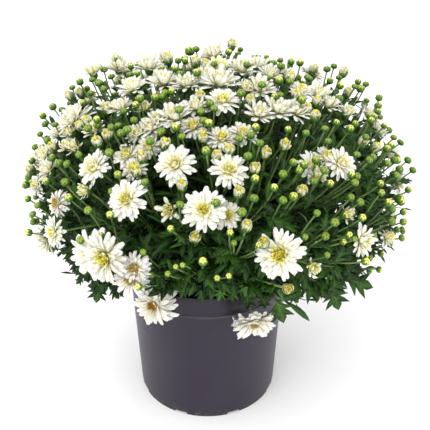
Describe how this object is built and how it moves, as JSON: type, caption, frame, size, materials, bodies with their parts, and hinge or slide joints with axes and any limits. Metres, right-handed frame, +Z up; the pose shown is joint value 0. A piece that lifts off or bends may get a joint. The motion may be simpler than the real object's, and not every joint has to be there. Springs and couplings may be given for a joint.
{
  "type": "pot chrysanthemum",
  "caption": "Bushy white chrysanthemum in bloom, grown as a dome on forking stems in a round tapered nursery pot.",
  "frame": {"origin": "middle of the pot's underside, on the level that it stands on", "axes": "+Z up along the pot's axis, -Y towards the side that faces the viewer"},
  "size_m": [0.4585, 0.4506, 0.4648],
  "materials": {
    "pot": "dark charcoal moulded plastic with a soft sheen",
    "compost": "loose dark peat compost",
    "crown": "woody brown-green bark",
    "stem": "ribbed olive-green stem",
    "leaf": "matt dark green lobed leaf with veins, greyer below",
    "bud": "green bracts, cream where the bud opens",
    "petal": "creamy white petals round a yellow disc"
  },
  "bodies": {
    "root": {"nursery_pot": "pot", "growing_medium": "compost", "root_crown": "crown", "stem_back_left": "stem", "stem_left": "stem", "stem_left_front": "stem", "stem_front_left": "stem", "stem_front": "stem", "stem_front_right": "stem", "stem_right_front": "stem", "stem_right": "stem", "stem_back_right": "stem", "stem_back": "stem", "stem_middle": "stem", "flower_head_01": "petal", "flower_head_02": "petal", "flower_head_03": "petal", "flower_head_04": "petal", "flower_head_05": "petal", "flower_head_06": "petal", "flower_head_07": "petal", "flower_head_08": "petal", "flower_head_09": "petal", "flower_head_10": "petal", "flower_head_11": "petal", "flower_head_12": "petal", "flower_head_13": "petal", "flower_head_14": "petal", "flower_head_15": "petal", "flower_head_16": "petal", "flower_head_17": "petal", "flower_head_18": "petal", "flower_head_19": "petal", "flower_head_20": "petal", "flower_head_21": "petal", "flower_head_22": "petal", "flower_head_23": "petal", "flower_head_24": "petal", "flower_head_25": "petal", "flower_head_26": "petal", "flower_head_27": "petal", "flower_head_28": "petal", "flower_head_29": "petal", "flower_head_30": "petal", "flower_bud_01": "bud", "flower_bud_02": "bud", "flower_bud_03": "bud", "flower_bud_04": "bud", "flower_bud_05": "bud", "leaf_01": "leaf", "leaf_02": "leaf", "leaf_03": "leaf", "leaf_04": "leaf", "leaf_05": "leaf", "leaf_06": "leaf", "leaf_07": "leaf", "leaf_08": "leaf", "leaf_09": "leaf", "leaf_10": "leaf", "leaf_11": "leaf"}
  },
  "joints": []
}
